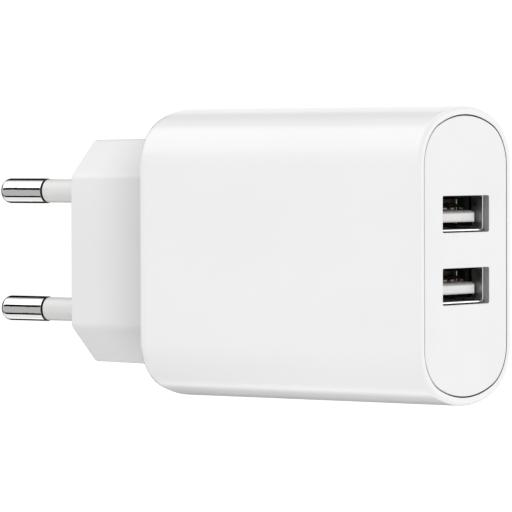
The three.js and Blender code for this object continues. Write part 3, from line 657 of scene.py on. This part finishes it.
def make_pin(name, z, looks):
    """A pin turned from one rod: rounded tip, shoulder, thin core under the sleeve, collar and tail."""
    solid = Solid(f"contact_pin_{name}")
    tip = pin_low.x
    rounded = [math.radians(90 * k / 14) for k in range(1, 15)]
    profile = [(tip + PIN_TIP * (1 - math.cos(a)), PIN_RADIUS * math.sin(a)) for a in rounded]
    shoulder, edge = -SLEEVED, 0.05 * MM
    collar_start, collar_end = COLLAR
    collar_radius = (pin_high.y - pin_low.y) / 2
    tail, tail_edge = pin_high.x, 0.3 * MM
    profile += [
        (tip + PIN_TIP + 0.3 * MM, PIN_RADIUS),
        (shoulder - edge - 0.05 * MM, PIN_RADIUS),
        (shoulder - edge, PIN_RADIUS),
    ]
    groove = [*fillet((shoulder - edge, PIN_RADIUS - edge), edge, 90, 0, 4), (shoulder, CORE_RADIUS)]
    hidden = [
        (collar_start, CORE_RADIUS),
        (collar_start, collar_radius),
        (collar_end, collar_radius),
        (collar_end, CORE_RADIUS),
        (tail - tail_edge, CORE_RADIUS),
        (tail, CORE_RADIUS - tail_edge),
    ]
    around = lambda radius, x: circle(0, z, radius)
    rings = solid.run(profile, around)
    # The groove and the core under the sleeve take the second material, near black: painted shade.
    shaded = solid.run(groove[1:], around, 1)
    solid.strip(rings[-1], shaded[0], 1)
    rear = solid.run(hidden, around)
    solid.strip(shaded[-1], rear[0], 1)
    solid.fill(rear[-1])
    point = solid.bm.verts.new((tip, 0, z))
    for i, vert in enumerate(rings[0]):
        solid.bm.faces.new((point, vert, rings[0][(i + 1) % len(rings[0])]))
    piece = solid.finish(looks["nickel"], looks["pin_groove_shade"])
    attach(piece, "charger")
    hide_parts(f"pin_{name}")


def make_sleeve(name, z, looks):
    """The insulating sleeve round the inner half of a pin, with its outer end softened."""
    solid = Solid(f"insulating_sleeve_{name}")
    inner, outer = CORE_RADIUS + 0.05 * MM, SLEEVE_RADIUS
    start, end = sleeve_low.x + SLEEVE_START, sleeve_high.x
    edge = 0.1 * MM
    profile = [
        (start, inner),
        *fillet((start + edge, outer - edge), edge, 180, 90, 4),
        (start + 0.3 * MM, outer),
        (end, outer),
        (end, inner),
    ]
    rings = solid.run(profile, lambda radius, x: circle(0, z, radius))
    solid.strip(rings[-1], rings[0])
    piece = solid.finish(looks["sleeve_white"])
    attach(piece, "charger")
    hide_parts(f"pin_sleeve_{name}")


# ---- USB receptacles ----------------------------------------------------------------------------

# The shell's spring fingers (broad walls) and side leaves: half width, slit beside them, stretch of
# x that is cut, tip, and how far they bow inwards.
FINGER = dict(y=3.4 * MM, half=1.0 * MM, slit=0.3 * MM, start=59.2 * MM, end=66.4 * MM, dip=0.5 * MM)
FINGER_TIP = FINGER["start"] + 0.6 * MM
LEAF = dict(half=1.9 * MM, slit=0.3 * MM, start=60.9 * MM, tip=64.7 * MM, end=67.2 * MM, dip=0.4 * MM)
BOW_CROWN, BOW_CURL = 0.75, 0.35
FOLD_RADIUS = 0.75 * MM
LIP_SHIFT = 0.15 * MM  # the side walls stand this far further in, so that their lip shows
NEAR = 1e-6


def marks(low, high, stops, step):
    """Positions from low to high through every stop, no two further apart than step."""
    edges = sorted({low, high, *[s for s in stops if low < s < high]})
    found = []
    for one, other in zip(edges, edges[1:]):
        parts = max(1, math.ceil((other - one) / step))
        found += [one + (other - one) * k / parts for k in range(parts)]
    return found + [high]


def eased(share):
    """0 to 1 with level ends."""
    return 0.5 - 0.5 * math.cos(math.pi * share)


def bow(share):
    """A spring finger's depth along its length: 0 at the root, 1 at the crown, less at the tip."""
    rise = eased(min(share / BOW_CROWN, 1))
    return rise - BOW_CURL * max(0, (share - BOW_CROWN) / (1 - BOW_CROWN)) ** 2


def make_usb_shell(port, looks):
    """The folded steel shell: a rounded tube of sheet with spring fingers cut free and bowed in."""
    low, high = shell_box(port)
    half_y, half_z = high.y - LIP_SHIFT, (high.z - low.z) / 2
    middle = (high.z + low.z) / 2
    radius = FOLD_RADIUS
    flat_y, flat_z = half_y - radius, half_z - radius
    slit_y = [FINGER["y"] + s * (FINGER["half"] + t) for s in (-1, 1) for t in (0, FINGER["slit"])]
    slit_z = [s * (LEAF["half"] + t) for s in (-1, 1) for t in (0, LEAF["slit"])]
    across = marks(-flat_y, flat_y, slit_y + [-s for s in slit_y], 1 * MM)
    up = marks(-flat_z, flat_z, slit_z, 1 * MM)
    quarter = math.pi / 2
    section = [(half_y, z) for z in up]
    section += arc((flat_y, flat_z), radius, 0, quarter, 5)[1:]
    section += [(y, half_z) for y in reversed(across)][1:]
    section += arc((-flat_y, flat_z), radius, quarter, 2 * quarter, 5)[1:]
    section += [(-half_y, z) for z in reversed(up)][1:]
    section += arc((-flat_y, -flat_z), radius, 2 * quarter, 3 * quarter, 5)[1:]
    section += [(y, -half_z) for y in across][1:]
    section += arc((flat_y, -flat_z), radius, 3 * quarter, 4 * quarter, 5)[1:-1]
    stops = [FINGER["start"], FINGER_TIP, FINGER["end"], LEAF["start"], LEAF["tip"], LEAF["end"]]
    along = marks(low.x, high.x, stops, 0.7 * MM)

    def finger_share(x, y, z):
        """How far along a broad wall's finger a point is, or None off the fingers."""
        inside = abs(abs(y) - FINGER["y"]) < FINGER["half"] + NEAR
        if abs(z) > half_z - NEAR and inside and FINGER_TIP - NEAR < x <= FINGER["end"]:
            return (FINGER["end"] - x) / (FINGER["end"] - FINGER_TIP)
        return None

    def leaf_share(x, y, z):
        """The same for a side wall's leaf."""
        inside = abs(z) < LEAF["half"] + NEAR
        if abs(y) > half_y - NEAR and inside and LEAF["start"] <= x < LEAF["tip"] + NEAR:
            return (x - LEAF["start"]) / (LEAF["tip"] - LEAF["start"])
        return None

    def is_cut(x, y, z):
        """Whether the sheet is cut away at a face's middle."""
        if abs(z) > half_z - NEAR and FINGER["start"] < x < FINGER["end"]:
            aside = abs(abs(y) - FINGER["y"])
            in_slit = FINGER["half"] < aside < FINGER["half"] + FINGER["slit"]
            before_tip = x < FINGER_TIP and aside < FINGER["half"]
            return in_slit or before_tip
        if abs(y) > half_y - NEAR and LEAF["start"] < x < LEAF["end"]:
            in_slit = LEAF["half"] < abs(z) < LEAF["half"] + LEAF["slit"]
            before_tip = x > LEAF["tip"] and abs(z) < LEAF["half"]
            return in_slit or before_tip
        return False

    bm = bmesh.new()
    grid = [[bm.verts.new((x, y, z + middle)) for y, z in section] for x in along]
    count = len(section)
    for i in range(len(along) - 1):
        for j in range(count):
            k = (j + 1) % count
            corners = (grid[i][j], grid[i][k], grid[i + 1][k], grid[i + 1][j])
            centre = sum((v.co for v in corners), Vector()) / 4
            if not is_cut(centre.x, centre.y, centre.z - middle):
                bm.faces.new(corners)
    for i, x in enumerate(along):
        for j, (y, z) in enumerate(section):
            finger, leaf = finger_share(x, y, z), leaf_share(x, y, z)
            if finger:
                grid[i][j].co.z -= math.copysign(FINGER["dip"] * bow(finger), z)
            if leaf:
                grid[i][j].co.y -= math.copysign(LEAF["dip"] * bow(leaf), y)
    bmesh.ops.delete(bm, geom=[v for v in bm.verts if not v.link_faces], context="VERTS")
    bmesh.ops.recalc_face_normals(bm, faces=bm.faces)
    mesh = bpy.data.meshes.new(f"receptacle_shell_{port}")
    bm.to_mesh(mesh)
    bm.free()
    piece = placed(mesh.name, mesh, looks["steel"], looks["steel_inside_shade"], looks["steel_edge_highlight"])
    sheet = piece.modifiers.new("sheet", "SOLIDIFY")
    sheet.thickness, sheet.offset = SHEET, -1
    # The inside faces take the darker steel with painted shade, the cut edges the brighter steel with a
    # painted highlight.
    sheet.material_offset, sheet.material_offset_rim = 1, 2
    bevelled(piece, 0.16 * MM, segments=4, angle=50)
    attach(piece, "charger")
    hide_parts(f"usb_shell_{port}")


TONGUE = dict(half_width=5.55 * MM, bottom=-1.25 * MM, thickness=1.9 * MM, groove=1.25 * MM)
TONGUE_CORNER, TONGUE_ROOT = 0.9 * MM, 2.6 * MM
# The ramp at the tongue's tip: how far back from the tip and how far below the top.
NOSE = [(0, 0.65 * MM), (0.12 * MM, 0.5 * MM), (0.9 * MM, 0.2 * MM), (5.5 * MM, 0)]
BED = dict(half_width=0.65 * MM, from_tip=0.7 * MM)
# The strip's bed is below the tongue's top, its crown and its free end are above it.
CONTACT = dict(sheet=0.25 * MM, bed=0.35 * MM, crown=0.95 * MM, end=0.25 * MM)
CONTACT_SPAN = dict(half_width=0.5 * MM, from_end=2.0 * MM, rise=4.4 * MM, curl=1.7)


def prism_y(name, outline, y0, y1, *materials):
    """A prism between y0 and y1 of an outline drawn in the XZ plane."""
    bm = bmesh.new()
    near = [bm.verts.new((x, y0, z)) for x, z in outline]
    far = [bm.verts.new((x, y1, z)) for x, z in outline]
    bm.faces.new(near)
    bm.faces.new(far)
    for i in range(len(near)):
        j = (i + 1) % len(near)
        bm.faces.new((near[i], near[j], far[j], far[i]))
    bmesh.ops.recalc_face_normals(bm, faces=bm.faces)
    mesh = bpy.data.meshes.new(name)
    bm.to_mesh(mesh)
    bm.free()
    return placed(name, mesh, *materials)


def combine(piece, other, operation):
    """Joins another object's solid to the piece or cuts it away, and removes the other."""
    boolean = piece.modifiers.new(operation, "BOOLEAN")
    boolean.operation, boolean.object, boolean.solver = operation, other, "EXACT"
    baked(piece)
    bpy.data.objects.remove(other)


def make_tongue(port, looks):
    """The insulator: a block closing the shell's rear, and the tongue with its four contact beds."""
    low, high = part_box(f"usb_tongue_{port}")
    bottom = port_height(port) + TONGUE["bottom"]
    top = bottom + TONGUE["thickness"]
    tip = high.x
    white = looks[f"tongue_white_{port}"]
    side = [(low.x + 1 * MM, bottom), (tip - 0.2 * MM, bottom), (tip, bottom + 0.2 * MM)]
    side += [(tip - back, top - down) for back, down in NOSE]
    side.append((low.x + 1 * MM, top))
    half = TONGUE["half_width"]
    piece = prism_y(f"insulator_{port}", side, -half, half, white)
    plan = Solid("plan")
    behind, sharp = tip - 14 * MM, 0.01 * MM
    corners = [(behind, -half), (tip, -half), (tip, half), (behind, half)]
    plan_outline = rounded_polygon(corners, [sharp, TONGUE_CORNER, TONGUE_CORNER, sharp], 8)
    rings = [[plan.bm.verts.new((x, y, z)) for x, y in plan_outline] for z in (bottom - MM, top + MM)]
    plan.strip(*rings)
    plan.fill(rings[0])
    plan.fill(rings[1])
    combine(piece, plan.finish(white), "INTERSECT")
    bevelled(piece, 0.12 * MM, angle=30)
    block = Solid("block")
    middle, tall = (low.z + high.z) / 2, (high.z - low.z) / 2
    outline = lambda offset, x: rounded_rect(0, middle, high.y, tall, 0.4 * MM)
    ends = block.run([(low.x, 0), (low.x + TONGUE_ROOT, 0)], outline)
    block.fill(ends[0])
    block.fill(ends[1])
    combine(piece, block.finish(white), "UNION")
    start, end = low.x - 1 * MM, tip - BED["from_tip"]
    floor, above = top - TONGUE["groove"], top + 0.15 * MM
    bed = [(start, floor), (end, floor), (end, above), (start, above)]
    wide = BED["half_width"]
    for y in CONTACT_ROWS:
        combine(piece, prism_y("bed", bed, y - wide, y + wide), "DIFFERENCE")
    piece.data.set_sharp_from_angle(angle=SMOOTH_ANGLE)
    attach(piece, "charger")
    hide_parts(f"usb_tongue_{port}")


def make_contact(port, row, looks):
    """A bowed contact strip with a soft crown, and its lead down to the board."""
    node = f"usb_contact_{port}_{row + 1}"
    low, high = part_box(node)
    top = port_height(port) + TONGUE["bottom"] + TONGUE["thickness"]
    sheet, bed = CONTACT["sheet"], top - CONTACT["bed"]
    crown, end = top + CONTACT["crown"], top + CONTACT["end"]
    peak = high.x - CONTACT_SPAN["from_end"]
    root = peak - CONTACT_SPAN["rise"]
    upper = [(low.x, bed), (low.x + 1 * MM, bed), (root - 1 * MM, bed)]
    upper += [(root + (peak - root) * k / 18, bed + (crown - bed) * eased(k / 18)) for k in range(19)]
    for k in range(1, 11):
        fall = (k / 10) ** CONTACT_SPAN["curl"]
        upper.append((peak + (high.x - peak) * k / 10, crown + (end - crown) * fall))
    outline = upper + [(x, z - sheet) for x, z in reversed(upper)]
    y, half = CONTACT_ROWS[row], CONTACT_SPAN["half_width"]
    piece = prism_y(f"contact_strip_{port}_{row + 1}", outline, y - half, y + half, looks["gold"])
    lead = [(low.x, bed - sheet), (low.x + 0.5 * MM, bed - sheet), (low.x + 0.5 * MM, bed), (low.x, bed)]
    combine(piece, prism_y("lead", lead, y + 0.1 * MM, high.y, looks["gold"]), "UNION")
    bevelled(piece, 0.04 * MM, segments=2, angle=50)
    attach(piece, f"contacts_{port}")
    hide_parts(node)


# ---- Stage --------------------------------------------------------------------------------------

CAMERA = dict(azimuth=35.9, elevation=1.45, roll=-0.15, distance=0.62, lens=280.9)
CAMERA_TARGET = Vector((31.38, 0, -0.48)) * MM


def direction(azimuth, elevation):
    """Unit vector from the object towards a viewer; azimuth 0 is the -Y side, 90 the +X side."""
    a, e = math.radians(azimuth), math.radians(elevation)
    return Vector((math.sin(a) * math.cos(e), -math.cos(a) * math.cos(e), math.sin(e)))


def make_camera():
    """The camera at the photograph's angle, aimed at CAMERA_TARGET and turned a little by its roll."""
    data = bpy.data.cameras.new("camera")
    camera = bpy.data.objects.new("camera", data)
    bpy.context.scene.collection.objects.link(camera)
    back = direction(CAMERA["azimuth"], CAMERA["elevation"])
    data.lens, data.sensor_width = CAMERA["lens"], 36
    data.clip_start, data.clip_end = 0.01, 50
    camera.location = CAMERA_TARGET + back * CAMERA["distance"]
    camera.rotation_mode = "QUATERNION"
    roll = Quaternion((0, 0, 1), math.radians(CAMERA["roll"]))
    camera.rotation_quaternion = (-back).to_track_quat("-Z", "Y") @ roll
    bpy.context.scene.camera = camera


# The studio's even brightness, and its brighter and darker round regions: azimuth, elevation, radius
# of the even middle and outer radius, all in degrees, and added brightness.
BASE_LIGHT = 0.945
REGIONS = [
    (-60, 44, 14, 32, 0.85),
    (-126, 42, 14, 24, -0.6),
    (-143, -22, 20, 27, -0.82),
    (-130, -48, 5, 17, 0.5),
    (147, 0, 8, 18, 0.7),
    (66, 0, 8, 22, 0.55),
]


def make_world():
    """An even pale studio with brighter and darker regions."""
    world = bpy.data.worlds.new("studio")
    bpy.context.scene.world = world
    world.use_nodes = True
    nodes, links = world.node_tree.nodes, world.node_tree.links
    place = nodes.new("ShaderNodeTexCoord").outputs["Generated"]
    total = None
    for azimuth, elevation, inner, outer, added in REGIONS:
        facing = nodes.new("ShaderNodeVectorMath")
        facing.operation = "DOT_PRODUCT"
        facing.inputs[1].default_value = direction(azimuth, elevation)
        links.new(place, facing.inputs[0])
        region = nodes.new("ShaderNodeMapRange")
        region.interpolation_type = "SMOOTHSTEP"
        region.inputs["From Min"].default_value = math.cos(math.radians(outer))
        region.inputs["From Max"].default_value = math.cos(math.radians(inner))
        region.inputs["To Max"].default_value = added
        links.new(facing.outputs["Value"], region.inputs["Value"])
        plus = nodes.new("ShaderNodeMath")
        plus.operation = "ADD"
        plus.inputs[0].default_value = BASE_LIGHT
        if total:
            links.new(total, plus.inputs[0])
        links.new(region.outputs["Result"], plus.inputs[1])
        total = plus.outputs["Value"]
    links.new(total, nodes["Background"].inputs["Strength"])
    nodes["Background"].inputs["Color"].default_value = (1, 1, 1, 1)


def plain_glow(name, diffuse, glow):
    """A dull white that also glows by itself."""
    material = bpy.data.materials.new(name)
    material.use_nodes = True
    shader = material.node_tree.nodes["Principled BSDF"]
    shader.inputs["Base Color"].default_value = (diffuse, diffuse, diffuse, 1)
    shader.inputs["Roughness"].default_value = 0.9
    shader.inputs["Specular IOR Level"].default_value = 0
    shader.inputs["Emission Color"].default_value = (1, 1, 1, 1)
    shader.inputs["Emission Strength"].default_value = glow
    return material


def staged(name, bm, material):
    """A stage object made from bm: no part of the charger, and casting no shadow."""
    mesh = bpy.data.meshes.new(name)
    bm.to_mesh(mesh)
    bm.free()
    mesh.materials.append(material)
    piece = bpy.data.objects.new(name, mesh)
    bpy.context.scene.collection.objects.link(piece)
    piece.visible_transmission = piece.visible_shadow = False
    return piece


# Cards round the pins, seen only in reflections: from and to, in degrees round X from the near side
# over the top, both ends along X in millimetres, and their grey.
PIN_CARD_RADIUS = 200 * MM
PIN_CARDS = [
    (118, 242, -240, -145, 0.0),
    (150, 210, -600, -240, 0.0),
    (11, 30, -550, -145, 0.0),
    (-46, 11, -550, -145, 0.52),
    (-63, -46, -550, -145, 0.0),
]


def make_card(name, corners, grey, diffuse=False):
    """A strip of card given by its two long edges, seen only in reflections or only by diffuse light."""
    bm = bmesh.new()
    near, far = [[bm.verts.new(point) for point in row] for row in corners]
    for k in range(len(near) - 1):
        bm.faces.new((near[k], near[k + 1], far[k + 1], far[k]))
    card = staged(name, bm, plain_glow(name, 0, grey))
    card.visible_camera = False
    card.visible_diffuse, card.visible_glossy = diffuse, not diffuse


def make_cards():
    """The cards round the pins, a dark one beyond their tips and a grey one below the plug."""
    for number, (start, end, low, high, grey) in enumerate(PIN_CARDS):
        steps = max(2, round((end - start) / 6))  # a point about every 6 degrees
        turn = [math.radians(180 - end), math.radians(180 - start)]
        edge = arc((0, 0), PIN_CARD_RADIUS, *turn, steps)
        corners = [[(x * MM, y, z) for y, z in edge] for x in (low, high)]
        make_card(f"pin_card_{number}", corners, grey)
    beside = -250 * MM
    corners = [[(beside, y * MM, z * MM) for y in (-25, 200)] for z in (-100, 100)]
    make_card("card_beside", corners, 0.0)
    below = -48 * MM
    corners = [[(x * MM, y * MM, below) for x in (-80, 8)] for y in (-62, 30)]
    make_card("card_below", corners, 0.5, diffuse=True)


DOME_RADIUS, FLOOR_RADIUS = 1.5, 1.45
FLOOR_HEIGHT = -80 * MM


def make_backdrop():
    """A white dome and a pale floor below the object, seen only by the camera."""
    bm = bmesh.new()
    bmesh.ops.create_uvsphere(bm, u_segments=48, v_segments=24, radius=DOME_RADIUS)
    dome = staged("backdrop", bm, plain_glow("backdrop", 0, 1.05))
    bm = bmesh.new()
    bmesh.ops.create_circle(bm, cap_ends=True, segments=96, radius=FLOOR_RADIUS)
    floor = staged("floor", bm, plain_glow("floor", 0.5, 0.62))
    floor.location.z = FLOOR_HEIGHT
    for piece in (dome, floor):
        piece.visible_diffuse = piece.visible_glossy = False


def make_stage():
    """The camera, the light and everything round the charger."""
    bpy.context.scene.view_settings.view_transform = "Standard"
    make_camera()
    make_world()
    make_backdrop()
    make_cards()


# ---- The model ----------------------------------------------------------------------------------

looks = make_looks()
slots = {part["node"]: part["material_slot"] for part in frame["record"]["subparts"]}
for name, node in frame["nodes"].items():
    node.data.materials.clear()
    node.data.materials.append(looks[slots[name]])

make_housing(looks)
make_panel(looks)
make_plug_block(looks)
for name, z in zip(("live", "neutral"), pin_heights()):
    make_pin(name, z, looks)
    make_sleeve(name, z, looks)
for port in PORTS:
    make_usb_shell(port, looks)
    make_tongue(port, looks)
    for row in range(len(CONTACT_ROWS)):
        make_contact(port, row, looks)
make_stage()
